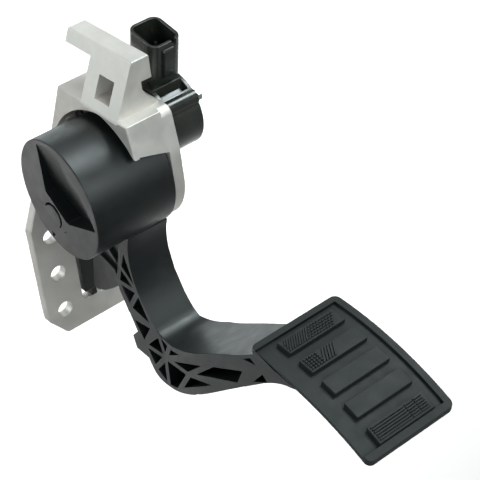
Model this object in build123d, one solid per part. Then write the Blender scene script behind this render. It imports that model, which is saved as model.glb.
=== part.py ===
from build123d import *
import math
import os

os.makedirs("parts", exist_ok=True)

# Drawing frame: x runs along the pivot axis from the drum's free end to the sensor,
# y runs from the pivot axis to the bulkhead, z runs up. Every piece is moved once, at
# the end, so that the origin lies in the mounting face at the middle of the bolt holes.

# Hub drum, in millimetres
DRUM_R = 39.6
DRUM_LEN = 57.6
DRUM_WALL = 4.0
DRUM_WEB = 14.0
DRUM_EDGE = 0.6
SCOOP_DEPTH = 10.4
SCOOP_RIM = 3.0
SCOOP_BOW_R = 90.0
SCOOP_TOP = DRUM_R - SCOOP_RIM
SCOOP_FOOT = -15.0
CAP_R = 8.0
CAP_GAP = 0.5

# Pedal arm
ARM_W = 30.2
FLARE_NEAR = 2.6
FLARE_FAR = 6.4
POCKET_DEPTH = 11.0
RIB_T = 3.6
LUG_INSET = 2.6
TRAVEL_DEG = 13.0

# Foot pad
PAD_W = 62.8
PAD_LEN = 95.8
PAD_T = 4.4
PAD_RISE = 5.9
PAD_SLOPE_DEG = 14.7
PAD_SHIFT = 1.2
PAD_CORNER_R = 4.0
PAD_RIM = 4.5
PAD_TRAY = 2.0
BAR_LEN = 40.2
BAR_W = 11.0
BAR_H = 3.2
BAR_COUNT = 5
BAR_PITCH = 17.8

# Bracket casting
PLATE_W = 75.0
PLATE_T = 7.0
PLATE_LOW = -145.0
PLATE_SHOULDER = -55.0
PLATE_HIGH = 1.0
PLATE_SLANT = 0.44
FOOT_CUT_X = 12.5
FOOT_CUT_Z = 16.0
BOLT_R = 5.5
BOLT_COLUMNS = 48.0
BOLT_ROWS = 30.0
BOLT_MID_Z = -95.0
WINDOW_W = 19.0
WINDOW_LOW = -126.0
WINDOW_HIGH = -72.0
ARCH_GAP = 7.1
ARCH_DRAFT = 2.5
LIP_T = 4.0
HOOD_LEN = 32.5
ROOF_T = 2.5
WALL_T = 8.0
WALL_CORNER_R = 6.0
WALL_FOOT = -53.0
HOOK_TOP = 82.0
HOOK_Y0 = -25.0
HOOK_NECK = 37.0
HOOK_BAR = 63.5
HOOK_BAR_T = 12.5
HOOK_LEAN = 0.464

# Pivot
SHAFT_R = 8.0
BUSH_T = 2.0
BUSH_LEN = 12.0
BOSS_WALL = 5.5
HUB_WALL = 4.5
WASHER_T = 1.2
WASHER_RIM = 4.0
CLIP_T = 1.2
CLIP_GROOVE = 0.7
CLIP_RIM = 0.6
CLIP_GRIP = 0.8
CLIP_HALF = SHAFT_R + CLIP_RIM
CLIP_SLOT = 2 * (SHAFT_R - CLIP_GROOVE - CLIP_GRIP)
RUN_FIT = 0.05
BODY_GAP = 0.3

# Return springs
OUTER_SPRING_R = 31.0
OUTER_WIRE_R = 1.6
OUTER_TURNS = 2
OUTER_LEG_DEG = -62.0
INNER_SPRING_R = 22.0
INNER_WIRE_R = 1.25
INNER_TURNS = 3
INNER_LEG_DEG = -40.0
LEG_GRIP = 5.0
TURN_STEPS = 12
WIRE_SIDES = 6

# Position sensor
SENSOR_R = 24.0
SENSOR_LEN = 24.0
SENSOR_Y = -7.0
SENSOR_Z = 27.5
SENSOR_FLOOR = 4.0
CAVITY_Y = 25.0
CAVITY_Z = 22.0
CAVITY_CORNER_R = 3.0
SPIGOT_R = 11.0
SEAL_W = 3.5
SEAL_T = 1.5
LID_T = 3.0
BOARD_T = 1.6
BOARD_MARGIN = 1.5
EAR_R = 5.0
EAR_ANGLE = 142.4
EAR_REACH = 21.5
NOTCH_DEG = (100.0, 129.0)
SENSOR_LEDGE = 2.5
SCREW_R = 2.5
SCREW_FLANGE_R = 4.2
SCREW_HEX_R = 3.2
SCREW_HEAD = 2.8
SLEEVE_T = 1.0
PLUG_X = 22.0
PLUG_Y = 26.0
PLUG_WALL = 2.0
PLUG_CORNER_R = 6.0
PLUG_LEN = 42.0
PLUG_TILT = 12.0
PLUG_DEPTH = 24.0
PIN_PITCH = 5.0
PIN_W = 1.5
PIN_LEN = 15.0

# Sizes that follow from the ones above
ARM_X0 = DRUM_LEN - ARM_W
ARM_MID = DRUM_LEN - ARM_W / 2
ARCH_R = DRUM_R + ARCH_GAP
ROOF_Z = ARCH_R + ROOF_T
WALL_DISC_R = DRUM_R - 1.2
FACE_Y = DRUM_R + 22.4
PLATE_FRONT = FACE_Y - PLATE_T
WALL_X0 = DRUM_LEN + 0.4
WALL_X1 = WALL_X0 + WALL_T
HOOD_X0 = WALL_X1 - HOOD_LEN
DRUM_BORE_R = DRUM_R - DRUM_WALL
SHAFT_X0 = DRUM_WEB - 1.5
HUB_R = SHAFT_R + HUB_WALL
HUB_X1 = DRUM_WEB + 14.0
BUSH_R = SHAFT_R + BUSH_T
BOSS_R = BUSH_R + BOSS_WALL
BOSS_X0 = HUB_X1 + 1.5
SINK_X = WALL_X1 - 5.0
SINK_R = BUSH_R + 2.5
CLIP_X0 = SINK_X + BODY_GAP + WASHER_T
SENSOR_X1 = WALL_X1 + SENSOR_LEN
BOARD_X = WALL_X1 + SENSOR_FLOOR


def disc(radius, x0, x1, y=0.0, z=0.0):
    """A round bar along x between two stations."""
    return extrude(Plane.YZ.offset(x0) * Pos(y, z) * Circle(radius), amount=x1 - x0)


def ring(outer, inner, x0, x1, y=0.0, z=0.0):
    """A round tube along x between two stations."""
    return disc(outer, x0, x1, y, z) - disc(inner, x0, x1, y, z)


def drafted(radius, x0, x1, draft):
    """A round bar along x that loses some radius towards its far end."""
    taper = math.degrees(math.atan(draft / (x1 - x0)))
    return extrude(Plane.YZ.offset(x0) * Circle(radius), amount=x1 - x0, taper=taper)


def slab(points, x0, x1, inset=0.0):
    """A flat outline in y and z, drawn in by an inset and carried along x."""
    face = make_face(Polyline(*points, close=True))
    if inset:
        face = offset(face, amount=-inset)
    return extrude(Plane.YZ.offset(x0) * face, amount=x1 - x0)


def rounded_block(width_y, width_z, corner_r, x0, x1, y, z):
    """A rounded rectangle in y and z, carried along x."""
    outline = Pos(y, z) * RectangleRounded(width_y, width_z, corner_r)
    return extrude(Plane.YZ.offset(x0) * outline, amount=x1 - x0)


def sheet(points, y0, y1):
    """A flat outline in x and z, carried along y."""
    return extrude(Plane.XZ.offset(-y1) * make_face(Polyline(*points, close=True)), amount=y1 - y0)


def block(x0, x1, y0, y1, z0, z1):
    """A box between two corners."""
    return Pos((x0 + x1) / 2, (y0 + y1) / 2, (z0 + z1) / 2) * Box(x1 - x0, y1 - y0, z1 - z0)


def polar(radius, degrees):
    """The y and z of a point about the pivot, counted from +y towards +z."""
    turn = math.radians(degrees)
    return radius * math.cos(turn), radius * math.sin(turn)


def arc_slot(radius, half_width, from_deg, to_deg, x0, x1):
    """A curved slot about the pivot with round ends."""
    middle = (from_deg + to_deg) / 2
    stations = (from_deg, middle, to_deg)
    outer = ThreePointArc(*[polar(radius + half_width, turn) for turn in stations])
    inner = ThreePointArc(*[polar(radius - half_width, turn) for turn in reversed(stations)])
    outline = [outer, Line(outer @ 1, inner @ 0), inner, Line(inner @ 1, outer @ 0)]
    slot = extrude(Plane.YZ.offset(x0) * make_face(outline), amount=x1 - x0)
    for turn in (from_deg, to_deg):
        slot += disc(half_width, x0, x1, *polar(radius, turn))
    return slot


# Return springs: a stepped coil with a straight leg in the drum's web and one in the end wall
SPRING_X0 = DRUM_WEB + 4.0
SPRING_X1 = WALL_X0 - 12.0


def spring_path(radius, turns, leg_deg):
    """The middle of the wire, from the leg in the drum's web to the leg in the end wall."""
    steps = turns * TURN_STEPS
    points = [(DRUM_WEB - LEG_GRIP, *polar(radius, leg_deg))]
    for step in range(steps + 1):
        along = SPRING_X0 + (SPRING_X1 - SPRING_X0) * step / steps
        points.append((along, *polar(radius, leg_deg + 360 * step / TURN_STEPS)))
    points.append((WALL_X0 + LEG_GRIP, *polar(radius, leg_deg)))
    return Polyline(*points)


def wire_along(path, wire_r):
    """Spring wire drawn along a path, mitred at each step."""
    section = Plane(origin=path @ 0, z_dir=path % 0) * RegularPolygon(wire_r, WIRE_SIDES)
    return sweep(section, path=path, transition=Transition.RIGHT)


outer_path = spring_path(OUTER_SPRING_R, OUTER_TURNS, OUTER_LEG_DEG)
inner_path = spring_path(INNER_SPRING_R, INNER_TURNS, INNER_LEG_DEG)
spring_outer = wire_along(outer_path, OUTER_WIRE_R)
spring_inner = wire_along(inner_path, INNER_WIRE_R)
SPRING_LEGS = [(outer_path, OUTER_WIRE_R), (inner_path, INNER_WIRE_R)]

# Stop positions: the lug under the drum meets the rubber buffer in the plate at full travel,
# and the tab on top of the drum meets the rubber bumper in the hood when released
LUG_TIP = (31.7, -98.4)
travel = math.radians(TRAVEL_DEG)
BUFFER_FRONT = LUG_TIP[0] * math.cos(travel) - LUG_TIP[1] * math.sin(travel) + BODY_GAP
TAB_ANGLE = 40.0
TAB_TOP_R = DRUM_R + 2.4
TAB_X0 = WALL_X0 - 14.0
TAB_X1 = WALL_X0 - 2.0

# Sensor fixing screws on opposite sides of its body
ear_y, ear_z = polar(EAR_REACH, EAR_ANGLE)
EARS = [(SENSOR_Y + ear_y, SENSOR_Z + ear_z), (SENSOR_Y - ear_y, SENSOR_Z - ear_z)]

# Bracket: mounting plate with two columns of bolt holes and a window for the buffer
plate_left = ARM_MID - PLATE_W / 2
plate_right = ARM_MID + PLATE_W / 2
plate_outline = [
    (plate_left + FOOT_CUT_X, PLATE_LOW),
    (plate_right - FOOT_CUT_X, PLATE_LOW),
    (plate_right, PLATE_LOW + FOOT_CUT_Z),
    (plate_right, PLATE_SHOULDER),
    (WALL_X1, PLATE_HIGH),
    (plate_left + (PLATE_HIGH - PLATE_SHOULDER) * PLATE_SLANT, PLATE_HIGH),
    (plate_left, PLATE_SHOULDER),
    (plate_left, PLATE_LOW + FOOT_CUT_Z),
]
plate = sheet(plate_outline, PLATE_FRONT, FACE_Y)
plate = fillet(plate.edges().filter_by(Axis.Y), 4.0)
plate = chamfer(plate.faces().sort_by(Axis.Y)[0].edges(), 0.8)
for column in (-1, 1):
    for row in (-1, 0, 1):
        hole_x = ARM_MID + column * BOLT_COLUMNS / 2
        hole_z = BOLT_MID_Z + row * BOLT_ROWS
        plate -= Pos(hole_x, FACE_Y - PLATE_T / 2, hole_z) * Rot(90, 0, 0) * Cylinder(BOLT_R, PLATE_T + 2)
WINDOW_X0 = ARM_MID - WINDOW_W / 2
WINDOW_X1 = ARM_MID + WINDOW_W / 2
window = block(WINDOW_X0, WINDOW_X1, PLATE_FRONT - 1, FACE_Y + 1, WINDOW_LOW, WINDOW_HIGH)
plate -= fillet(window.edges().filter_by(Axis.Y), 4.0)

# Bracket: hood over the drum, with a lip in front of its drafted arch, and the wall at its far end
hood_outline = [
    (-0.814 * ARCH_R, 22.0),
    (-0.728 * ARCH_R, ROOF_Z),
    (0.782 * ARCH_R, ROOF_Z),
    (PLATE_FRONT + 0.5, 9.0),
    (PLATE_FRONT + 0.5, -10.0),
    (PLATE_FRONT - 9.0, -10.0),
]
hood = slab(hood_outline, HOOD_X0, WALL_X0)
hood = fillet(hood.faces().sort_by(Axis.X)[0].edges(), 1.2)
hood -= drafted(ARCH_R, HOOD_X0 + LIP_T, WALL_X0, ARCH_DRAFT)
front_arc = ThreePointArc(polar(1.14 * ARCH_R, 195), polar(0.98 * ARCH_R, 130), polar(ARCH_R, 97))
rear_arc = ThreePointArc(front_arc @ 1, polar(0.95 * ARCH_R, 46), polar(1.14 * ARCH_R, 5))
lip_foot = Polyline(rear_arc @ 1, polar(1.14 * ARCH_R, -15), front_arc @ 0)
lip_face = make_face([front_arc, rear_arc, lip_foot])
hood -= extrude(Plane.YZ.offset(HOOD_X0 - 1) * lip_face, amount=LIP_T + 2)
wall_foot = [(PLATE_FRONT + 0.5, WALL_FOOT), (10.0, -39.0), (-30.0, -10.0), (-WALL_DISC_R, 2.0)]
wall_outline = hood_outline[:4] + wall_foot
wall = slab(wall_outline, WALL_X0, WALL_X1)
roof_corner = (WALL_X0, *hood_outline[1])
wall = fillet(wall.edges().filter_by(Axis.X).sort_by_distance(roof_corner)[:1], WALL_CORNER_R)
wall += disc(WALL_DISC_R, WALL_X0, WALL_X1)
wall = chamfer(wall.faces().sort_by(Axis.X)[-1].edges(), 0.8)
bracket = plate + hood + wall + disc(BOSS_R, BOSS_X0, WALL_X0 + 1)

# Bracket: hook on the roof that leans towards the sensor, with a window through its neck
HOOK_BAR_H = 15.0
hook_low_x = HOOD_X0 + 0.5
hook_top_x = hook_low_x + (HOOK_TOP - ROOF_Z) * HOOK_LEAN
half_bar = HOOK_BAR_H / 2
neck_side = [
    (hook_low_x - ROOF_T * HOOK_LEAN, ROOF_Z - ROOF_T),
    (hook_top_x - half_bar * HOOK_LEAN, HOOK_TOP - half_bar),
    (hook_top_x + 5.0, HOOK_TOP - half_bar),
    (hook_top_x + 5.0, HOOK_TOP - HOOK_BAR_H - 5.0),
    (hook_top_x + 8.0, HOOK_TOP - HOOK_BAR_H - 11.0),
    (WALL_X1 - 3.0, ROOF_Z + 2.2),
    (WALL_X1 - 1.0, ROOF_Z - ROOF_T),
]
neck = sheet(neck_side, HOOK_Y0, HOOK_Y0 + HOOK_NECK)
bar_side = [
    (hook_top_x - (half_bar + 0.4) * HOOK_LEAN, HOOK_TOP - half_bar - 0.4),
    (hook_top_x, HOOK_TOP),
    (hook_top_x + HOOK_BAR_T, HOOK_TOP),
    (hook_top_x + HOOK_BAR_T, HOOK_TOP - HOOK_BAR_H),
    (hook_top_x + 5.0, HOOK_TOP - HOOK_BAR_H),
]
bar = sheet(bar_side, HOOK_Y0, HOOK_Y0 + HOOK_BAR)
bar = fillet(bar.edges().group_by(Axis.Z)[-1], 1.0)
hook = neck + bar
hook -= block(HOOD_X0 - 2, WALL_X1, HOOK_Y0 + 10.5, HOOK_Y0 + 25.3, ROOF_Z + 5.0, ROOF_Z + 18.5)
bracket += hook

# Bracket: bores, spring anchor holes and the seat of the released stop
bracket -= disc(BUSH_R, BOSS_X0 - 1, WALL_X1 + 1)
bracket -= disc(SINK_R, SINK_X, WALL_X1 + 1)
bracket -= disc(SPIGOT_R, WALL_X0 - 1, WALL_X1 + 1, SENSOR_Y, SENSOR_Z)
for ear in EARS:
    bracket -= disc(SCREW_R, WALL_X0 + 1, WALL_X1 + 1, *ear)
for path, wire_r in SPRING_LEGS:
    leg = path @ 1
    bracket -= disc(wire_r, WALL_X0 - 1, WALL_X0 + LEG_GRIP, leg.Y, leg.Z)
bumper_blank = block(TAB_X0, TAB_X1, DRUM_R + 0.3, ARCH_R + 3.8, -8.0, 0.0)
idle_bumper = Rot(TAB_ANGLE, 0, 0) * bumper_blank
bracket -= idle_bumper

# Rubber buffer that stands in the window of the plate, with a foot in the window's lower end
buffer_x0 = WINDOW_X0 + 2.5
buffer_y1 = FACE_Y - 0.5
stop_buffer = block(buffer_x0, WINDOW_X1, BUFFER_FRONT, buffer_y1, WINDOW_LOW + 6.0, WINDOW_HIGH)
stop_buffer += block(ARM_MID - 2.0, ARM_MID + 2.0, PLATE_FRONT, buffer_y1, WINDOW_LOW, WINDOW_LOW + 6.5)
stop_buffer = fillet(stop_buffer.faces().sort_by(Axis.Y)[0].edges(), 1.5)
stop_buffer -= bracket

# Pedal: hub drum, closed by a web at its free end and open towards the wall
drum = disc(DRUM_R, 0, DRUM_LEN)
drum = chamfer(drum.faces().sort_by(Axis.X)[0].edges(), DRUM_EDGE)
hollow = disc(DRUM_BORE_R, DRUM_WEB, DRUM_LEN + 1) - disc(HUB_R, DRUM_WEB, HUB_X1)
drum -= hollow

# Pedal: scoop in the free end, deepest at its lower edge and running out at the top
scoop_outline = [(14.0, DRUM_R), (14.0, 0.0), (-5.0, SCOOP_FOOT), (-DRUM_R, -4.6), (-DRUM_R, DRUM_R)]
scoop = slab(scoop_outline, -1, DRUM_WEB)
scoop = fillet(scoop.edges().filter_by(Axis.X).sort_by(Axis.Z)[:1], 4.0)
scoop &= disc(SCOOP_TOP, -1, DRUM_WEB)
scoop_tilt = math.degrees(math.atan(SCOOP_DEPTH / (SCOOP_TOP - SCOOP_FOOT)))
scoop_floor = Pos(-SCOOP_BOW_R, 0, 0) * Cylinder(SCOOP_BOW_R, 4 * DRUM_R)
scoop &= Pos(0.4, 2, SCOOP_TOP) * Rot(0, -scoop_tilt, 0) * scoop_floor
drum -= scoop

# Pedal: round plug of the spring anchor with its crescent gap, and two moulding marks
drum -= disc(CAP_R + CAP_GAP, -1, 3, 10.2, -16.0) - disc(CAP_R, -2, 4, 11.4, -17.4)
drum -= slab([(12.5, -31.5), (16.0, -30.5), (15.5, -35.0)], -1, 2)
drum -= slab([(0.6, -24.8), (-8.3, -17.3), (-0.3, -23.4)], -1, 1)

# Pedal: blind slots in the web that let the drum turn past the spring legs
for path, wire_r in SPRING_LEGS:
    leg = path @ 0
    leg_r = math.hypot(leg.Y, leg.Z)
    leg_deg = math.degrees(math.atan2(leg.Z, leg.Y))
    slot_x0 = DRUM_WEB - LEG_GRIP - BODY_GAP
    drum -= arc_slot(leg_r, wire_r + 0.6, leg_deg - TRAVEL_DEG - 4, leg_deg + 4, slot_x0, DRUM_WEB + 1)

# Pedal: tab that meets the released bumper, and the lump that carries the magnet
stop_tab = block(TAB_X0 + 1, TAB_X1 - 1, DRUM_R - 4.0, TAB_TOP_R, BODY_GAP, 8.0)
drum += Rot(TAB_ANGLE, 0, 0) * stop_tab
MAGNET_R = math.hypot(SENSOR_Y, SENSOR_Z)
MAGNET_DEG = math.degrees(math.atan2(SENSOR_Z, SENSOR_Y)) - TRAVEL_DEG / 2
magnet_place = Rot(MAGNET_DEG, 0, 0)
magnet = magnet_place * block(DRUM_LEN - 5, DRUM_LEN, MAGNET_R - 3, MAGNET_R + 3, -5.0, 5.0)
magnet_lump = magnet_place * block(DRUM_LEN - 10, DRUM_LEN, MAGNET_R - 4.5, DRUM_BORE_R + 1.5, -7.0, 7.0)

# Pedal: arm between a front and a rear curve, from the drum down to the elbow and up to the pad
front_curve = Spline(
    (-25, -32), (-22, -48), (-24, -65), (-36, -88), (-45, -95.8), (-54, -97), (-64, -94.5),
    (-105, -72.5), (-146, -47.5), (-161.5, -30.6),
)
rear_curve = Spline(
    (-212, -41), (-190, -51), (-169, -57), (-142, -73.5), (-99.5, -106.5), (-78.5, -122), (-57, -134),
    (-44.5, -137), (-34.5, -135.4), (-25, -121), (-13, -97.5), (-4.5, -79.5),
)
tip_line = Polyline(front_curve @ 1, (-191, -33.5), (-211.5, -38.4), rear_curve @ 0)
root_line = Polyline(rear_curve @ 1, (-3, -74), (-9, -56), (-14, -38), (-10, -20), front_curve @ 0)
arm_face = make_face([front_curve, tip_line, rear_curve, root_line])
arm = extrude(Plane.YZ.offset(ARM_X0 - FLARE_NEAR) * arm_face, amount=FLARE_NEAR + ARM_W + FLARE_FAR)
flare_outline = [
    (ARM_X0, 0), (ARM_X0, -46), (ARM_X0 - FLARE_NEAR, -86), (ARM_X0 - FLARE_NEAR, -220),
    (DRUM_LEN + FLARE_FAR, -220), (DRUM_LEN + FLARE_FAR, -68), (DRUM_LEN, -46), (DRUM_LEN, 0),
]
arm &= extrude(Plane.XY.offset(-150) * make_face(Polyline(*flare_outline, close=True)), amount=150)

# Pedal: truss on both flanks. Each pocket lies between the lettered nodes and is drawn in by
# half a rib, so that neighbouring pockets leave a rib and star ribs meet at node s
TRUSS_NODES = {
    "a": (-17, -41), "b": (-10, -59), "c": (-26, -72), "d": (-5, -73.5), "f": (-14, -90),
    "g": (-37, -94), "h": (-14, -97), "i": (-24.5, -114), "j": (-42, -95.5), "k": (-53.5, -99),
    "l": (-72, -96), "m": (-73, -109), "n": (-101, -83), "o": (-33, -129), "p": (-45.5, -137),
    "q": (-57, -133), "r": (-110, -95), "s": (-46.5, -112.5), "t": (-126, -84), "u": (-135, -66),
    "v": (-124, -63), "w": (-140, -52.5), "x": (-150, -58), "y": (-133, -78), "z": (-157, -65),
}
TRUSS_POCKETS = "abc bcd cdf cfg hgi jsi jks kls snm iso osp pqms qrm mnut vwx xzy"
for pocket in TRUSS_POCKETS.split():
    corners = [TRUSS_NODES[letter] for letter in pocket]
    arm -= slab(corners, ARM_X0 - FLARE_NEAR - 1, ARM_X0 + POCKET_DEPTH, RIB_T / 2)
    arm -= slab(corners, DRUM_LEN - POCKET_DEPTH, DRUM_LEN + FLARE_FAR + 1, RIB_T / 2)

# Pedal: stop lug under the drum, its two ribs, and the square nub behind the elbow
lug_outline = [
    (16, -30), (27.4, -78), LUG_TIP, (28, -100), (17.7, -95.6), (8.4, -89), (-4, -79), (-8, -60), (-8, -30),
]
lug = slab(lug_outline, ARM_X0 + LUG_INSET, DRUM_LEN - LUG_INSET)
lug = fillet(lug.faces().sort_by(Axis.X)[0].edges().sort_by(Axis.Z)[:6], 1.0)
upper_rib = slab([(0.5, -50), (-6.8, -57.2), (-5.6, -59.8), (1.6, -54)], ARM_X0, ARM_X0 + 4)
lower_rib = slab([(12.5, -61.5), (-3.5, -65.8), (-4, -69), (12, -65)], ARM_X0, ARM_X0 + 4)
nub = slab([(-19.5, -106), (-11.2, -114.8), (-13.6, -124), (-26, -125), (-28, -115)], ARM_X0, ARM_X0 + 15)

# Pedal: foot pad, a bowed plate with a rim on three sides and raised bars
slope = math.radians(PAD_SLOPE_DEG)
pad_along = (0.0, -math.cos(slope), -math.sin(slope))
pad_plane = Plane(origin=(ARM_MID + PAD_SHIFT, -158.5, -27.2), x_dir=pad_along, z_dir=(-1, 0, 0))


def pad_point(along, height):
    """A point of the bowed pad, by its distance from the top edge and its height above the rim."""
    half = PAD_LEN / 2
    return along, PAD_RISE * (1 - ((along - half) / half) ** 2) + height


def pad_piece(from_top, to_top, low, high, x0, x1):
    """Part of the bowed pad between two heights measured from its rim surface."""
    stations = (from_top, (from_top + to_top) / 2, to_top)
    upper = ThreePointArc(*[pad_point(along, high) for along in stations])
    lower = ThreePointArc(*[pad_point(along, low) for along in reversed(stations)])
    face = make_face([upper, Line(upper @ 1, lower @ 0), lower, Line(lower @ 1, upper @ 0)])
    return extrude(pad_plane.offset(-x1) * face, amount=x1 - x0)


BAR_X0 = -19.6
BAR_FIRST = PAD_RIM + 4.2
pad = pad_piece(0, PAD_LEN, -PAD_T, 0, -PAD_W / 2, PAD_W / 2)
pad = fillet([edge for edge in pad.edges() if abs(edge.length - PAD_T) < 0.01], PAD_CORNER_R)
pad -= pad_piece(PAD_RIM, PAD_LEN - PAD_RIM, -PAD_TRAY, 6, -PAD_W / 2 - 1, PAD_W / 2 - PAD_RIM)
for index in range(BAR_COUNT):
    start = BAR_FIRST + index * BAR_PITCH
    pad += pad_piece(start, start + BAR_W, -PAD_TRAY - 1, BAR_H - PAD_TRAY, BAR_X0, BAR_X0 + BAR_LEN)

pedal_arm = drum + arm + lug + upper_rib + lower_rib + nub + pad
pedal_arm -= hollow
pedal_arm += magnet_lump
pedal_arm -= disc(SHAFT_R, SHAFT_X0, HUB_X1 + 1)
pedal_arm -= magnet

# Pivot shaft, its two bushes, and the washers and clip that keep it in place
pivot_shaft = disc(SHAFT_R, SHAFT_X0, WALL_X1 - 0.5)
pivot_shaft -= ring(SHAFT_R + 1, SHAFT_R - CLIP_GROOVE, CLIP_X0, CLIP_X0 + CLIP_T)
bush_inner = ring(BUSH_R, SHAFT_R + RUN_FIT, BOSS_X0, BOSS_X0 + BUSH_LEN)
bush_outer = ring(BUSH_R, SHAFT_R + RUN_FIT, SINK_X - BUSH_LEN, SINK_X)
washer_inner = ring(SHAFT_R + WASHER_RIM, SHAFT_R, HUB_X1, BOSS_X0 - BODY_GAP)
washer_outer = ring(SHAFT_R + WASHER_RIM, SHAFT_R, CLIP_X0 - WASHER_T, CLIP_X0)
shaft_clip = block(CLIP_X0, CLIP_X0 + CLIP_T, -CLIP_HALF, CLIP_HALF, -CLIP_HALF, CLIP_HALF)
shaft_clip &= disc(SINK_R - BODY_GAP, CLIP_X0, CLIP_X0 + CLIP_T)
shaft_clip -= disc(SHAFT_R - CLIP_GROOVE, CLIP_X0 - 1, CLIP_X0 + CLIP_T + 1)
shaft_clip -= block(CLIP_X0 - 1, CLIP_X0 + CLIP_T + 1, -CLIP_SLOT / 2, CLIP_SLOT / 2, -CLIP_HALF - 1, 0)

# Sensor: round housing with screw ears, a notch above the front ear and an upright plug
plug_place = Pos(WALL_X1 + SENSOR_LEN / 2 + 2.0, SENSOR_Y + 0.5, SENSOR_Z + 54.5) * Rot(PLUG_TILT, 0, 0)
housing = disc(SENSOR_R, WALL_X1, SENSOR_X1, SENSOR_Y, SENSOR_Z)
for ear in EARS:
    housing += disc(EAR_R, WALL_X1, SENSOR_X1, *ear)
notch_outline = [(SENSOR_Y, SENSOR_Z)]
for turn in NOTCH_DEG:
    reach_y, reach_z = polar(2 * SENSOR_R, turn)
    notch_outline.append((SENSOR_Y + reach_y, SENSOR_Z + reach_z))
notch = slab(notch_outline, WALL_X1 + 3, SENSOR_X1 - SENSOR_LEDGE)
housing -= notch - disc(SENSOR_R - 4.5, WALL_X1, SENSOR_X1, SENSOR_Y, SENSOR_Z)
plug_base_x1 = SENSOR_X1 - SENSOR_LEDGE
plug_base_y = (SENSOR_Y - 9.0, SENSOR_Y + 15.0)
housing += block(WALL_X1, plug_base_x1, *plug_base_y, SENSOR_Z + 12.5, SENSOR_Z + SENSOR_R)
plug = extrude(RectangleRounded(PLUG_X, PLUG_Y, PLUG_CORNER_R), amount=-PLUG_LEN)
latch = block(-4.0, 4.0, -PLUG_Y / 2 - 2.6, -PLUG_Y / 2 + 0.5, -24.0, -4.0)
latch = chamfer(latch.edges().filter_by(Axis.X).group_by(Axis.Y)[0], 2.0)
housing += plug_place * (plug + latch)
cavity_sizes = (CAVITY_Y, CAVITY_Z, CAVITY_CORNER_R)
housing -= rounded_block(*cavity_sizes, BOARD_X, SENSOR_X1 + 1, SENSOR_Y, SENSOR_Z)
mouth = RectangleRounded(PLUG_X - 2 * PLUG_WALL, PLUG_Y - 2 * PLUG_WALL, PLUG_CORNER_R - PLUG_WALL)
housing -= plug_place * extrude(mouth, amount=-PLUG_DEPTH)
housing -= plug_place * block(3.0, 6.0, -PLUG_Y / 2 - 1, -PLUG_Y / 2 + 3, -3.5, 1)
housing += disc(SPIGOT_R, WALL_X0 + 0.8, WALL_X1 + 1, SENSOR_Y, SENSOR_Z)
housing -= disc(SPIGOT_R - 2.0, WALL_X0 + 2.2, WALL_X1 + SENSOR_FLOOR + 1, SENSOR_Y, SENSOR_Z)
sensor_seal = ring(SPIGOT_R + SEAL_W, SPIGOT_R, WALL_X1, WALL_X1 + SEAL_T, SENSOR_Y, SENSOR_Z)
housing -= sensor_seal
for ear in EARS:
    housing -= disc(SCREW_R + SLEEVE_T, WALL_X1 - 1, SENSOR_X1 + 1, *ear)

# Sensor: terminals, circuit board, sensing element and lid
pin = Pos(0, 0, PIN_LEN / 2 - 4.0 - PLUG_DEPTH) * Box(PIN_W, PIN_W, PIN_LEN)
connector_terminals = Part()
for column in (-1, 0, 1):
    for row in (-1, 1):
        connector_terminals += plug_place * Pos(column * PIN_PITCH, row * PIN_PITCH, 0) * pin
housing -= connector_terminals
half_y = CAVITY_Y / 2 - BOARD_MARGIN
half_z = CAVITY_Z / 2 - BOARD_MARGIN
board_sides = (SENSOR_Y - half_y, SENSOR_Y + half_y, SENSOR_Z - half_z, SENSOR_Z + half_z)
sensor_board = block(BOARD_X, BOARD_X + BOARD_T, *board_sides)
hall_element = block(WALL_X0 + 2.2, BOARD_X, SENSOR_Y - 4, SENSOR_Y + 4, SENSOR_Z - 3, SENSOR_Z + 3)
sensor_lid = rounded_block(*cavity_sizes, SENSOR_X1 - LID_T - 0.5, SENSOR_X1 - 0.5, SENSOR_Y, SENSOR_Z)

# Sensor: a metal sleeve and a flanged screw in each ear
sensor_sleeves = Part()
sensor_screws = Part()
for ear in EARS:
    sensor_sleeves += ring(SCREW_R + SLEEVE_T, SCREW_R, WALL_X1, SENSOR_X1, *ear)
    hexagon = Plane.YZ.offset(SENSOR_X1 + 1) * Pos(*ear) * RegularPolygon(SCREW_HEX_R, 6, major_radius=False)
    head = disc(SCREW_FLANGE_R, SENSOR_X1, SENSOR_X1 + 1, *ear) + extrude(hexagon, amount=SCREW_HEAD)
    sensor_screws += head + disc(SCREW_R, WALL_X0 + 1.5, SENSOR_X1 + 1, *ear)

# Every piece is moved to the mounting face and written out
to_mount = Pos(-ARM_MID, -FACE_Y, -BOLT_MID_Z)
pieces = {
    "bracket_casting": bracket,
    "stop_buffer": stop_buffer,
    "idle_bumper": idle_bumper,
    "bush_inner": bush_inner,
    "bush_outer": bush_outer,
    "spring_inner": spring_inner,
    "spring_outer": spring_outer,
    "sensor_housing": housing,
    "sensor_lid": sensor_lid,
    "sensor_seal": sensor_seal,
    "sensor_board": sensor_board,
    "hall_element": hall_element,
    "connector_terminals": connector_terminals,
    "sensor_sleeves": sensor_sleeves,
    "sensor_screws": sensor_screws,
    "pedal_arm": pedal_arm,
    "pivot_shaft": pivot_shaft,
    "washer_inner": washer_inner,
    "washer_outer": washer_outer,
    "shaft_clip": shaft_clip,
    "magnet": magnet,
}
for name, piece in pieces.items():
    export_step(to_mount * piece, f"parts/{name}.step")
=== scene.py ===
"""Looks of an accelerator pedal with a cast bracket, laid out as an add-on and run as a script."""

import math

import bmesh
import bpy
from bpy.props import FloatProperty, FloatVectorProperty, PointerProperty
from mathutils import Matrix, Vector


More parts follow.
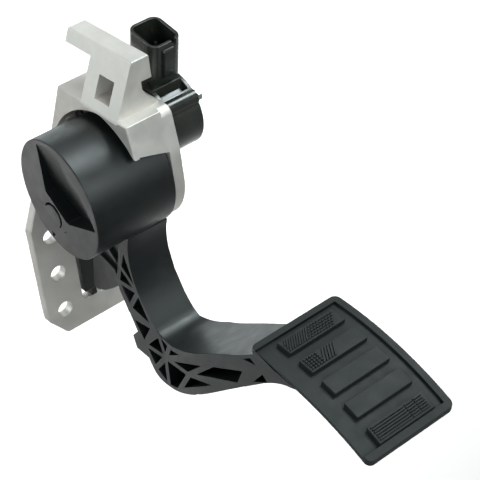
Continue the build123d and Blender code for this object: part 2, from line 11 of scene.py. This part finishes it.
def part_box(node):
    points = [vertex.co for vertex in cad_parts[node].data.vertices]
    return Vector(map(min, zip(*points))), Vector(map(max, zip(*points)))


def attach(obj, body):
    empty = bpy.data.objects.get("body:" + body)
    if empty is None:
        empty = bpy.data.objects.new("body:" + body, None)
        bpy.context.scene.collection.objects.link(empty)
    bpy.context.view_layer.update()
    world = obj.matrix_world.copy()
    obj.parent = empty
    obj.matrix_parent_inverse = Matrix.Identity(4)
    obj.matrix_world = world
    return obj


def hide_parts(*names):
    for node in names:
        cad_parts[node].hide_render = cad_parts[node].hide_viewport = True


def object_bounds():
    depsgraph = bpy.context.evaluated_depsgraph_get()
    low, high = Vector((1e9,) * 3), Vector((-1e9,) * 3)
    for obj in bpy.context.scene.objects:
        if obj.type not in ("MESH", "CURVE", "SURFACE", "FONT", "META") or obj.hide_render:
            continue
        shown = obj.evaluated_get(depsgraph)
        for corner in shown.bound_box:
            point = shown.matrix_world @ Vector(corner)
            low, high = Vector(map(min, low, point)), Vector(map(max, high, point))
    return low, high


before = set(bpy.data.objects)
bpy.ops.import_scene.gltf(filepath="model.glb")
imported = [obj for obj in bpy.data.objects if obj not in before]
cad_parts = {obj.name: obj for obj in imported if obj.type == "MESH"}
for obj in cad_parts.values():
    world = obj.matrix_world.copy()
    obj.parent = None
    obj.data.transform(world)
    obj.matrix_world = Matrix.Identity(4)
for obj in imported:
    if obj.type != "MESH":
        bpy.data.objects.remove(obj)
cad_box = [list(corner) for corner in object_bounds()]

bl_info = {
    "name": "Accelerator pedal looks",
    "version": (1, 0, 0),
    "blender": (4, 5, 0),
    "location": "View3D > Sidebar > Pedal",
    "description": "Finishes, rounded edges and tread of an accelerator pedal",
    "category": "Object",
}

MM = 0.001

# Foot pad as it stands in the frame, in millimetres
PAD_TOP = Vector((1.2, -220.5, 67.8))
PAD_SLOPE = math.radians(14.7)
PAD_DOWN = Vector((0.0, -math.cos(PAD_SLOPE), -math.sin(PAD_SLOPE)))
PAD_OUT = Vector((0.0, -math.sin(PAD_SLOPE), math.cos(PAD_SLOPE)))
PAD_T = 4.4
PAD_LEN = 95.8
PAD_RISE = 5.9
BAR_X0 = -19.6
BAR_W = 11.0
BAR_FIRST = 8.7
BAR_PITCH = 17.8
BAR_TOP = 1.2

# Tread zones: bar, where the zone's top edge starts and ends along the bar in millimetres, cells along
# it and down it, and how far the cells lean to the left for each millimetre down the pad
TREAD_ZONES = [
    (0, 3.0, 20.0, 10, 1, 0.7),
    (0, 20.0, 39.0, 9, 5, 0.7),
    (1, 1.0, 11.0, 5, 5, 0.0),
    (1, 14.0, 24.0, 5, 1, 0.6),
    (4, 1.0, 25.0, 1, 6, 0.0),
    (4, 25.0, 38.0, 2, 6, 0.0),
]
TREAD_MARGIN = 0.9
TREAD_TAPER = 0.12
TREAD_ROOT = 0.3

# Rounding of edges: how far apart two points are one, what counts as flat, as sharp and as running on, and
# the angles between which two edges at a corner leave room for a round
WELD = 0.002 * MM
FLAT_ANGLE = math.radians(0.6)
SHARP_ANGLE = math.radians(50)
RUN_ON_ANGLE = math.radians(17)
NARROW_ANGLE = math.radians(45)
WIDE_ANGLE = math.radians(135)

# Return springs, in millimetres: radius, wire radius, turns and the leg's place in degrees
PIVOT_Y = -62.0
PIVOT_Z = 95.0
SPRINGS = {
    "spring_outer": (31.0, 1.6, 2, -62.0),
    "spring_inner": (22.0, 1.25, 3, -40.0),
}
LEG_X = (-33.5, 20.5)
COIL_X = (-24.5, 3.5)

# Camera that takes the object from the photograph's side, worked out for a square picture
CAMERA_PLACE = Vector((-0.4114, -0.7547, 0.6211))
CAMERA_AZIMUTH = math.radians(-35.66)
CAMERA_ELEVATION = math.radians(36.27)
CAMERA_ROLL = math.radians(6.78)

# Soft boxes: place and aim in metres, width in metres, spread in degrees and power in watts. The narrow
# spread is that of a grid in front of the box, which keeps its light on the pedal or on a patch of floor
PEDAL_MIDDLE = Vector((0.0, -0.1, 0.05))
LAMPS = {
    "key": (Vector((0.62, -0.25, 1.15)), PEDAL_MIDDLE, 0.6, 50, 1.4),
    "front": (Vector((0.2, -1.6, 0.9)), PEDAL_MIDDLE, 0.8, 50, 1.4),
    "front_left": (Vector((-1.1, -1.6, 0.6)), PEDAL_MIDDLE, 0.8, 50, 1.2),
    "back_left": (Vector((-1.2, 1.0, 0.8)), PEDAL_MIDDLE, 0.8, 50, 1.35),
    "back_low": (Vector((0.75, 1.4, 0.05)), PEDAL_MIDDLE, 0.8, 50, 0.28),
    "back_mid": (Vector((0.75, 1.3, 0.8)), PEDAL_MIDDLE, 0.6, 50, 0.25),
    "floor_behind": (Vector((0.7, 0.9, 1.6)), Vector((0.7, 0.9, 0.0)), 1.0, 60, 11.0),
    "floor_left": (Vector((-0.9, 1.3, 0.8)), Vector((-0.9, 1.3, 0.0)), 0.5, 45, 5.5),
}


def linear(code):
    """A hex colour as seen on a screen, as the linear red, green and blue that shaders take."""
    channels = [int(code[start:start + 2], 16) / 255 for start in (1, 3, 5)]
    return [c / 12.92 if c <= 0.04045 else ((c + 0.055) / 1.055) ** 2.4 for c in channels]


def opaque(code):
    """A hex colour with full alpha, for a node's colour socket."""
    return (*linear(code), 1.0)


def per_mm(size):
    """The texture scale that repeats a pattern every so many millimetres."""
    return 1 / (size * MM)


def add(tree, kind, settings=None, inputs=None, links=None):
    """Adds one node, sets its fields and sockets, and links what feeds it."""
    node = tree.nodes.new(kind)
    for field, value in (settings or {}).items():
        setattr(node, field, value)
    for socket, value in (inputs or {}).items():
        node.inputs[socket].default_value = value
    for socket, source in (links or {}).items():
        tree.links.new(source, node.inputs[socket])
    return node


def surface(name, dark, light, mottle_mm, roughness, grain_mm, grain_height, stretch=(1, 1, 1), **sockets):
    """A material whose colour and gloss wander over the surface and whose grain stands out a little.

    dark and light are linear colours, roughness is its lowest and highest value, the sizes are in
    millimetres, and stretch draws the pattern out along an axis, as a drawn or ground surface has it.
    """
    material = bpy.data.materials.new(name)
    material.use_nodes = True
    tree = material.node_tree
    shader = tree.nodes["Principled BSDF"]
    for socket, value in sockets.items():
        shader.inputs[socket.replace("_", " ")].default_value = value
    place = add(tree, "ShaderNodeTexCoord")
    mapped = add(
        tree, "ShaderNodeMapping", inputs={"Scale": stretch}, links={"Vector": place.outputs["Object"]},
    )
    mottle = add(
        tree, "ShaderNodeTexNoise",
        inputs={"Scale": per_mm(mottle_mm), "Detail": 4.0, "Roughness": 0.6},
        links={"Vector": mapped.outputs["Vector"]},
    )
    colour = add(tree, "ShaderNodeValToRGB", links={"Fac": mottle.outputs["Fac"]})
    colour.color_ramp.elements[0].position = 0.32
    colour.color_ramp.elements[0].color = (*dark, 1.0)
    colour.color_ramp.elements[1].position = 0.68
    colour.color_ramp.elements[1].color = (*light, 1.0)
    grain = add(
        tree, "ShaderNodeTexNoise",
        inputs={"Scale": per_mm(grain_mm), "Detail": 2.0},
        links={"Vector": mapped.outputs["Vector"]},
    )
    gloss = add(
        tree, "ShaderNodeMapRange",
        inputs={"From Min": 0.3, "From Max": 0.7, "To Min": roughness[0], "To Max": roughness[1]},
        links={"Value": mottle.outputs["Fac"]},
    )
    bump = add(
        tree, "ShaderNodeBump",
        inputs={"Strength": 0.5, "Distance": grain_height * MM},
        links={"Height": grain.outputs["Fac"]},
    )
    tree.links.new(colour.outputs["Color"], shader.inputs["Base Color"])
    tree.links.new(gloss.outputs["Result"], shader.inputs["Roughness"])
    tree.links.new(bump.outputs["Normal"], shader.inputs["Normal"])
    return material


def wear(node_name, material):
    """Gives a CAD node a material in every slot."""
    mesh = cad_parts[node_name].data
    mesh.materials.clear()
    mesh.materials.append(material)


def new_piece(name, mesh, material, slot, body, *replaced):
    """Places a finished mesh or curve in the scene, on its body and in the stead of CAD nodes."""
    piece = bpy.data.objects.new(name, mesh)
    bpy.context.scene.collection.objects.link(piece)
    mesh.materials.append(material)
    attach(piece, body)
    if replaced:
        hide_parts(*replaced)
    return piece


def pinched(vert, sharp):
    """Whether a sharp edge at this corner lies too close to another edge to be rounded cleanly."""
    ways = [(edge, edge.other_vert(vert).co - vert.co) for edge in vert.link_edges]
    for edge, way in ways:
        if edge not in sharp:
            continue
        for other, other_way in ways:
            if other is edge:
                continue
            between = way.angle(other_way)
            runs_on = other not in sharp and other.calc_face_angle(0.0) < RUN_ON_ANGLE
            if between < NARROW_ANGLE or (runs_on and between > WIDE_ANGLE):
                return True
    return False


def rounded(node_name, radius):
    """A copy of a CAD node's mesh whose sharp outer edges are rounded as a tool or a tumbler leaves them."""
    mesh = bpy.data.meshes.new(node_name + "_rounded")
    work = bmesh.new()
    work.from_mesh(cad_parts[node_name].data)
    bmesh.ops.remove_doubles(work, verts=work.verts, dist=WELD)
    bmesh.ops.dissolve_limit(work, angle_limit=FLAT_ANGLE, verts=work.verts, edges=work.edges)
    sharp = set()
    for edge in work.edges:
        if edge.is_convex and len(edge.link_faces) == 2 and edge.calc_face_angle() > SHARP_ANGLE:
            sharp.add(edge)
    kept = set(sharp)
    for vert in work.verts:
        if pinched(vert, sharp):
            kept.difference_update(vert.link_edges)
    bmesh.ops.bevel(
        work, geom=list(kept), offset=radius, segments=2, profile=0.5, affect="EDGES", clamp_overlap=False,
    )
    for face in work.faces:
        face.smooth = True
    for edge in work.edges:
        edge.smooth = len(edge.link_faces) == 2 and edge.calc_face_angle() < SHARP_ANGLE
    work.to_mesh(mesh)
    work.free()
    mesh.materials.clear()
    return mesh


def even_shading(piece):
    """Flat faces keep their own direction where they run into a rounded edge."""
    modifier = piece.modifiers.new("flat_faces", "WEIGHTED_NORMAL")
    modifier.keep_sharp = True


class BracketSettings(bpy.types.PropertyGroup):
    """Cast bracket."""

    edge_radius: FloatProperty(
        name="Edge radius", description="Rounding of the casting's outer edges",
        default=0.5 * MM, min=0.1 * MM, max=1 * MM, subtype="DISTANCE", unit="LENGTH", precision=5,
    )
    light: FloatVectorProperty(
        name="Light", description="Bright places of the blasted aluminium", subtype="COLOR",
        default=linear("#DEDAD5"),
    )
    dark: FloatVectorProperty(
        name="Dark", description="Dull places of the blasted aluminium", subtype="COLOR",
        default=linear("#D0CCC7"),
    )


class PedalSettings(bpy.types.PropertyGroup):
    """Moulded pedal with its drum, arm and pad."""

    edge_radius: FloatProperty(
        name="Edge radius", description="Rounding of the moulding's outer edges",
        default=0.5 * MM, min=0.1 * MM, max=1 * MM, subtype="DISTANCE", unit="LENGTH", precision=5,
    )
    light: FloatVectorProperty(
        name="Light", description="Scuffed places of the nylon", subtype="COLOR",
        default=linear("#0B1111"),
    )
    dark: FloatVectorProperty(
        name="Dark", description="Fresh places of the nylon", subtype="COLOR",
        default=linear("#080C0C"),
    )
    tread_height: FloatProperty(
        name="Tread height", description="How far the tread stands out of the pad's bars",
        default=0.9 * MM, min=0.1 * MM, max=1.5 * MM, subtype="DISTANCE", unit="LENGTH", precision=5,
    )
    tread_gap: FloatProperty(
        name="Tread gap", description="Groove between neighbouring tread cells",
        default=0.75 * MM, min=0.2 * MM, max=1.5 * MM, subtype="DISTANCE", unit="LENGTH", precision=5,
    )


class SensorSettings(bpy.types.PropertyGroup):
    """Position sensor with its plug."""

    edge_radius: FloatProperty(
        name="Edge radius", description="Rounding of the housing's outer edges",
        default=0.45 * MM, min=0.1 * MM, max=1 * MM, subtype="DISTANCE", unit="LENGTH", precision=5,
    )
    colour: FloatVectorProperty(
        name="Colour", description="Black of the polyester housing", subtype="COLOR",
        default=linear("#1F211D"),
    )


class StageSettings(bpy.types.PropertyGroup):
    """Floor, light and camera."""

    floor_drop: FloatProperty(
        name="Floor drop", description="Distance from the lowest point of the pedal down to the floor",
        default=0.6, min=0.0, max=2.0, subtype="DISTANCE", unit="LENGTH",
    )
    lens: FloatProperty(
        name="Lens", description="Focal length of the camera",
        default=118.6, min=20.0, max=300.0, unit="CAMERA",
    )
    lamp_share: FloatProperty(
        name="Lamps", description="Share of their set power at which all lamps burn",
        default=1.0, min=0.0, max=5.0, subtype="FACTOR",
    )
    lamp_colour: FloatVectorProperty(
        name="Lamp colour", description="Cool white of the lamps", subtype="COLOR",
        default=linear("#E9F5F6"),
    )
    room_light: FloatProperty(
        name="Room light", description="Strength of the even light from all sides",
        default=0.25, min=0.0, max=2.0,
    )
    floor: FloatVectorProperty(
        name="Floor", description="Colour of the floor", subtype="COLOR",
        default=linear("#F2F2F0"),
    )


class PEDAL_OT_stage(bpy.types.Operator):
    """Lays the pale floor, hangs the soft lights and sets the camera"""

    bl_idname = "pedal.stage"
    bl_label = "Stage"

    def execute(self, context):
        scene = context.scene
        settings = scene.pedal_stage
        scene.view_settings.view_transform = "Standard"

        size = 5.0
        low = cad_box[0][2] - settings.floor_drop
        mesh = bpy.data.meshes.new("floor")
        corners = [(-size, -size, low), (size, -size, low), (size, size, low), (-size, size, low)]
        mesh.from_pydata(corners, [], [(0, 1, 2, 3)])
        floor = bpy.data.objects.new("floor", mesh)
        scene.collection.objects.link(floor)
        # Painted board: matt and nearly white, with the faint cloudiness of a rolled coat
        shade = [channel * 0.97 for channel in settings.floor]
        paint = surface(
            "board_rolled_paint", shade, list(settings.floor),
            mottle_mm=180.0, roughness=(0.75, 0.85), grain_mm=4.0, grain_height=0.02,
        )
        mesh.materials.append(paint)

        world = bpy.data.worlds.new("studio")
        world.use_nodes = True
        world.node_tree.nodes["Background"].inputs["Color"].default_value = opaque("#F4F6F8")
        world.node_tree.nodes["Background"].inputs["Strength"].default_value = settings.room_light
        scene.world = world

        for name, (place, aim, width, spread, power) in LAMPS.items():
            data = bpy.data.lights.new(name, "AREA")
            data.shape = "SQUARE"
            data.size = width
            data.spread = math.radians(spread)
            data.energy = power * settings.lamp_share
            if aim == PEDAL_MIDDLE:
                data.color = settings.lamp_colour
            lamp = bpy.data.objects.new(name, data)
            lamp.location = place
            lamp.rotation_euler = (aim - place).to_track_quat("-Z", "Y").to_euler()
            scene.collection.objects.link(lamp)

        back = Vector((
            math.sin(CAMERA_AZIMUTH) * math.cos(CAMERA_ELEVATION),
            -math.cos(CAMERA_AZIMUTH) * math.cos(CAMERA_ELEVATION),
            math.sin(CAMERA_ELEVATION),
        ))
        level = Vector((math.cos(CAMERA_AZIMUTH), math.sin(CAMERA_AZIMUTH), 0.0))
        upright = back.cross(level)
        right = level * math.cos(CAMERA_ROLL) - upright * math.sin(CAMERA_ROLL)
        data = bpy.data.cameras.new("photo_side")
        data.lens = settings.lens
        data.sensor_width = 36.0
        camera = bpy.data.objects.new("photo_side", data)
        turn = Matrix((right, back.cross(right), back)).transposed().to_4x4()
        camera.matrix_world = Matrix.Translation(CAMERA_PLACE) @ turn
        scene.collection.objects.link(camera)
        scene.camera = camera
        return {"FINISHED"}


class PEDAL_OT_bracket(bpy.types.Operator):
    """Rounds the bracket's edges and gives it the look of blasted cast aluminium"""

    bl_idname = "pedal.bracket"
    bl_label = "Cast bracket"

    def execute(self, context):
        settings = context.scene.pedal_bracket
        # Die cast aluminium, shot blasted: a pale satin grey that scatters light softly, a little cloudy
        # where the metal chilled. Blasting leaves pits of about 0.2 mm, drawn at 0.7 mm so that they show
        aluminium = surface(
            "aluminium_die_cast_blasted", list(settings.dark), list(settings.light),
            mottle_mm=18.0, roughness=(0.56, 0.68), grain_mm=0.7, grain_height=0.06, Metallic=1.0,
        )
        mesh = rounded("bracket_casting", settings.edge_radius)
        piece = new_piece("bracket_cast", mesh, aluminium, "cast_aluminium", "bracket", "bracket_casting")
        even_shading(piece)
        return {"FINISHED"}


def pad_rise(along):
    """How far the pad's bow stands above the line between its two ends."""
    half = PAD_LEN / 2
    return PAD_RISE * (1 - ((along - half) / half) ** 2)


def pad_place(point):
    """Millimetres down from the pad's top edge and above its rim, of a point in metres."""
    reach = point / MM - PAD_TOP
    along = reach.dot(PAD_DOWN)
    return along, reach.dot(PAD_OUT) - pad_rise(along)


def on_pad(across, along, height):
    """A point of the bowed pad in metres, by millimetres across, down from its top edge and above its rim."""
    rise = pad_rise(along) + height
    return (PAD_TOP + Vector((across, 0.0, 0.0)) + PAD_DOWN * along + PAD_OUT * rise) * MM


def grained_nylon(settings):
    """The foot pad's material, which the tread shares."""
    # Nylon with glass fibre, moulded in an etched tool: dull and nearly black, with a fine tooth that
    # grips the shoe. The etched grain is about 0.2 mm, drawn at 0.9 mm so that it shows
    return surface(
        "nylon_glass_filled_etched", list(settings.dark), list(settings.light),
        mottle_mm=9.0, roughness=(0.6, 0.7), grain_mm=0.9, grain_height=0.05, IOR=1.53,
    )


class PEDAL_OT_arm(bpy.types.Operator):
    """Rounds the moulded pedal's edges and gives it the look of glass filled nylon"""

    bl_idname = "pedal.arm"
    bl_label = "Moulded pedal"

    def execute(self, context):
        settings = context.scene.pedal_arm
        # Nylon with glass fibre, moulded in a polished tool: nearly black with a soft sheen, slightly
        # greener where fibre comes to the surface. The flow marks are about 0.1 mm, drawn at 0.9 mm so
        # that they show
        nylon = surface(
            "nylon_glass_filled_moulded", list(settings.dark), list(settings.light),
            mottle_mm=9.0, roughness=(0.36, 0.46), grain_mm=0.9, grain_height=0.02, IOR=1.53,
        )
        mesh = rounded("pedal_arm", settings.edge_radius)
        piece = new_piece("pedal_moulding", mesh, nylon, "arm_plastic", "pedal", "pedal_arm")
        mesh.materials.append(grained_nylon(settings))
        for face in mesh.polygons:
            along, height = pad_place(face.center)
            if -1.0 < along < PAD_LEN + 1.0 and height > -PAD_T - 0.5:
                face.material_index = 1
        even_shading(piece)
        return {"FINISHED"}


class PEDAL_OT_tread(bpy.types.Operator):
    """Raises the hatched tread on the pad's bars"""

    bl_idname = "pedal.tread"
    bl_label = "Pad tread"

    def execute(self, context):
        settings = context.scene.pedal_arm
        gap = settings.tread_gap / MM
        top = BAR_TOP + settings.tread_height / MM
        work = bmesh.new()
        for bar, start, end, columns, rows, lean in TREAD_ZONES:
            first = BAR_FIRST + bar * BAR_PITCH + TREAD_MARGIN
            wide = (end - start) / columns
            deep = (BAR_W - 2 * TREAD_MARGIN) / rows
            for row in range(rows):
                head = first + row * deep + gap / 2
                for column in range(columns):
                    left = start + column * wide + gap / 2 - lean * row * deep
                    right = left + wide - gap
                    reach = deep - gap
                    if lean:
                        reach = min(reach, (left - TREAD_MARGIN) / lean)
                    if reach < gap / 2:
                        continue
                    shift = lean * reach
                    levels = ((BAR_TOP - TREAD_ROOT, 0.0), (top - TREAD_TAPER, 0.0), (top, TREAD_TAPER))
                    rings = []
                    for height, inset in levels:
                        corners = [
                            (left + inset, head + inset), (left - shift + inset, head + reach - inset),
                            (right - shift - inset, head + reach - inset), (right - inset, head + inset),
                        ]
                        rings.append([work.verts.new(on_pad(BAR_X0 + x, a, height)) for x, a in corners])
                    work.faces.new(rings[0][::-1])
                    for lower, upper in zip(rings, rings[1:]):
                        for side in range(4):
                            after = (side + 1) % 4
                            work.faces.new((lower[side], lower[after], upper[after], upper[side]))
                    work.faces.new(rings[-1])
        bmesh.ops.recalc_face_normals(work, faces=work.faces)
        mesh = bpy.data.meshes.new("pad_tread")
        work.to_mesh(mesh)
        work.free()
        new_piece("pad_tread", mesh, grained_nylon(settings), "arm_plastic", "pedal")
        return {"FINISHED"}


class PEDAL_OT_sensor(bpy.types.Operator):
    """Rounds the sensor housing's edges and finishes the sensor's own pieces"""

    bl_idname = "pedal.sensor"
    bl_label = "Position sensor"

    def execute(self, context):
        settings = context.scene.pedal_sensor
        black = list(settings.colour)
        pale = [channel * 1.5 for channel in black]
        # Polyester moulded in a polished tool: near black and glossy, with faint flow clouds
        polyester = surface(
            "polyester_moulded_gloss", black, pale,
            mottle_mm=14.0, roughness=(0.2, 0.3), grain_mm=1.2, grain_height=0.01, IOR=1.57,
        )
        mesh = rounded("sensor_housing", settings.edge_radius)
        piece = new_piece("sensor_shell", mesh, polyester, "sensor_plastic", "bracket", "sensor_housing")
        even_shading(piece)
        for node_name in ("sensor_lid", "hall_element"):
            wear(node_name, polyester)
        # Glass laminate under green solder mask: the weave's 0.5 mm threads show as a faint ripple
        laminate = surface(
            "glass_laminate_solder_mask", linear("#1B5230"), linear("#23663C"),
            mottle_mm=0.5, roughness=(0.3, 0.4), grain_mm=0.5, grain_height=0.02, IOR=1.5,
        )
        wear("sensor_board", laminate)
        # Brass pins with a hot tin coat: bright, slightly uneven and faintly warm
        tin = surface(
            "brass_hot_tinned", linear("#CFCBC0"), linear("#E2E0D8"),
            mottle_mm=1.5, roughness=(0.2, 0.34), grain_mm=0.3, grain_height=0.01, Metallic=1.0,
        )
        wear("connector_terminals", tin)
        return {"FINISHED"}


class PEDAL_OT_rubber(bpy.types.Operator):
    """Finishes the rubber stops and the sensor's seal"""

    bl_idname = "pedal.rubber"
    bl_label = "Rubber stops and seal"

    def execute(self, context):
        # Moulded rubber, bloomed: soft black that greys a little where wax has come out
        rubber = surface(
            "rubber_moulded_bloomed", linear("#0D0D0D"), linear("#151615"),
            mottle_mm=5.0, roughness=(0.5, 0.65), grain_mm=0.6, grain_height=0.03, IOR=1.52,
        )
        for node_name in ("stop_buffer", "idle_bumper", "sensor_seal"):
            wear(node_name, rubber)
        return {"FINISHED"}


class PEDAL_OT_screws(bpy.types.Operator):
    """Makes the sensor's two flanged hexagon screws"""

    bl_idname = "pedal.screws"
    bl_label = "Sensor screws"

    def execute(self, context):
        # Steel plated with zinc and blue passivated: bright with a cold, slightly green cast
        zinc = surface(
            "zinc_plated_passivated", linear("#B9CFCB"), linear("#D6DEDC"),
            mottle_mm=2.5, roughness=(0.2, 0.32), grain_mm=0.4, grain_height=0.01, Metallic=1.0,
        )
        low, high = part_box("sensor_screws")
        flange = 4.2 * MM
        flange_rim = 0.7 * MM
        flange_top = 1.2 * MM
        chamfer = 0.15 * MM
        dish = 0.4 * MM
        places = [(low.y + flange, high.z - flange), (high.y - flange, low.z + flange)]
        count = 48
        shank = 2.5 * MM
        flat = 3.2 * MM
        head_x = high.x - 3.8 * MM
        work = bmesh.new()
        for y, z in places:
            rings = []
            for step in range(count):
                turn = 2 * math.pi * step / count
                side = math.radians(60)
                corner = flat / math.cos((turn + side / 2) % side - side / 2)
                drop = max(0.0, corner - flat * 0.98) * 0.6
                profile = [
                    (low.x, shank), (head_x, shank), (head_x, flange), (head_x + flange_rim, flange),
                    (head_x + 1.1 * MM, flange - 0.5 * MM), (head_x + flange_top, corner),
                    (high.x - chamfer - drop, corner), (high.x - chamfer, flat * 0.98),
                    (high.x, flat * 0.86), (high.x - dish, flat * 0.6),
                ]
                rings.append([
                    work.verts.new((x, y + radius * math.cos(turn), z + radius * math.sin(turn)))
                    for x, radius in profile
                ])
            for ring, after in zip(rings, rings[1:] + rings[:1]):
                for start in range(len(ring) - 1):
                    work.faces.new((ring[start], after[start], after[start + 1], ring[start + 1]))
            work.faces.new([ring[0] for ring in rings])
            work.faces.new([ring[-1] for ring in rings])
        bmesh.ops.recalc_face_normals(work, faces=work.faces)
        for face in work.faces:
            face.smooth = True
        for edge in work.edges:
            edge.smooth = edge.calc_face_angle() < math.radians(22)
        mesh = bpy.data.meshes.new("sensor_hex_screws")
        work.to_mesh(mesh)
        work.free()
        new_piece("sensor_hex_screws", mesh, zinc, "zinc_steel", "bracket", "sensor_screws")
        for node_name in ("sensor_sleeves", "washer_inner", "washer_outer"):
            wear(node_name, zinc)
        return {"FINISHED"}


class PEDAL_OT_springs(bpy.types.Operator):
    """Winds the two return springs from round wire"""

    bl_idname = "pedal.springs"
    bl_label = "Return springs"

    def execute(self, context):
        # Spring wire, drawn and oil tempered: dark metal whose oxide is slightly cloudy
        wire = surface(
            "spring_wire_oil_tempered", linear("#4E4F52"), linear("#66676A"),
            mottle_mm=3.0, roughness=(0.3, 0.42), grain_mm=0.4, grain_height=0.01, Metallic=1.0,
        )
        steps = 24
        for node_name, (radius, wire_radius, turns, leg) in SPRINGS.items():
            stations = [(LEG_X[0], leg)]
            for step in range(turns * steps + 1):
                share = step / (turns * steps)
                stations.append((COIL_X[0] + (COIL_X[1] - COIL_X[0]) * share, leg + 360 * step / steps))
            stations.append((LEG_X[1], leg))
            curve = bpy.data.curves.new(node_name + "_wire", "CURVE")
            curve.dimensions = "3D"
            curve.bevel_depth = wire_radius * MM
            curve.bevel_resolution = 3
            curve.use_fill_caps = True
            spline = curve.splines.new("POLY")
            spline.points.add(len(stations) - 1)
            for point, (x, degrees) in zip(spline.points, stations):
                turn = math.radians(degrees)
                y = PIVOT_Y + radius * math.cos(turn)
                z = PIVOT_Z + radius * math.sin(turn)
                point.co = (x * MM, y * MM, z * MM, 1.0)
            new_piece(node_name + "_wire", curve, wire, "spring_steel", "bracket", node_name)
        wear("shaft_clip", wire)
        return {"FINISHED"}


class PEDAL_OT_pivot(bpy.types.Operator):
    """Finishes the pivot shaft, its bushes and the magnet"""

    bl_idname = "pedal.pivot"
    bl_label = "Pivot and magnet"

    def execute(self, context):
        # Steel ground between centres: bright, with fine lines round the shaft
        ground = surface(
            "steel_ground", linear("#A9ABAD"), linear("#C3C5C7"),
            mottle_mm=2.0, roughness=(0.18, 0.3), grain_mm=0.25, grain_height=0.01,
            stretch=(6, 1, 1), Metallic=1.0,
        )
        # Sintered bronze filled with oil: warm, matt and speckled by its pores
        bronze = surface(
            "bronze_sintered", linear("#8C6536"), linear("#B0844C"),
            mottle_mm=0.8, roughness=(0.4, 0.6), grain_mm=0.3, grain_height=0.04, Metallic=1.0,
        )
        # Pressed ferrite: dark grey and dull, with fine grit
        ferrite = surface(
            "ferrite_pressed", linear("#2B2B2D"), linear("#3B3B3E"),
            mottle_mm=0.9, roughness=(0.5, 0.7), grain_mm=0.3, grain_height=0.04, IOR=2.0,
        )
        wear("pivot_shaft", ground)
        wear("bush_inner", bronze)
        wear("bush_outer", bronze)
        wear("magnet", ferrite)
        return {"FINISHED"}


PIECES = (
    PEDAL_OT_bracket, PEDAL_OT_arm, PEDAL_OT_tread, PEDAL_OT_sensor, PEDAL_OT_rubber, PEDAL_OT_screws,
    PEDAL_OT_springs, PEDAL_OT_pivot, PEDAL_OT_stage,
)
SETTINGS = {
    "pedal_bracket": BracketSettings,
    "pedal_arm": PedalSettings,
    "pedal_sensor": SensorSettings,
    "pedal_stage": StageSettings,
}


class PEDAL_PT_sidebar(bpy.types.Panel):
    """Lists the pieces of the pedal and their settings"""

    bl_idname = "PEDAL_PT_sidebar"
    bl_label = "Accelerator pedal"
    bl_space_type = "VIEW_3D"
    bl_region_type = "UI"
    bl_category = "Pedal"

    def draw(self, context):
        for name in SETTINGS:
            group = getattr(context.scene, name)
            column = self.layout.column(align=True)
            for field in group.__annotations__:
                column.prop(group, field)
        column = self.layout.column(align=True)
        for piece in PIECES:
            column.operator(piece.bl_idname)


def register():
    for group in SETTINGS.values():
        bpy.utils.register_class(group)
    for name, group in SETTINGS.items():
        setattr(bpy.types.Scene, name, PointerProperty(type=group))
    for piece in PIECES:
        bpy.utils.register_class(piece)
    bpy.utils.register_class(PEDAL_PT_sidebar)


def unregister():
    bpy.utils.unregister_class(PEDAL_PT_sidebar)
    for piece in reversed(PIECES):
        bpy.utils.unregister_class(piece)
    for name, group in SETTINGS.items():
        delattr(bpy.types.Scene, name)
        bpy.utils.unregister_class(group)


def main():
    register()
    bpy.ops.pedal.bracket()
    bpy.ops.pedal.arm()
    bpy.ops.pedal.tread()
    bpy.ops.pedal.sensor()
    bpy.ops.pedal.rubber()
    bpy.ops.pedal.screws()
    bpy.ops.pedal.springs()
    bpy.ops.pedal.pivot()
    bpy.ops.pedal.stage()
    bpy.context.view_layer.update()


if __name__ == "__main__":
    main()
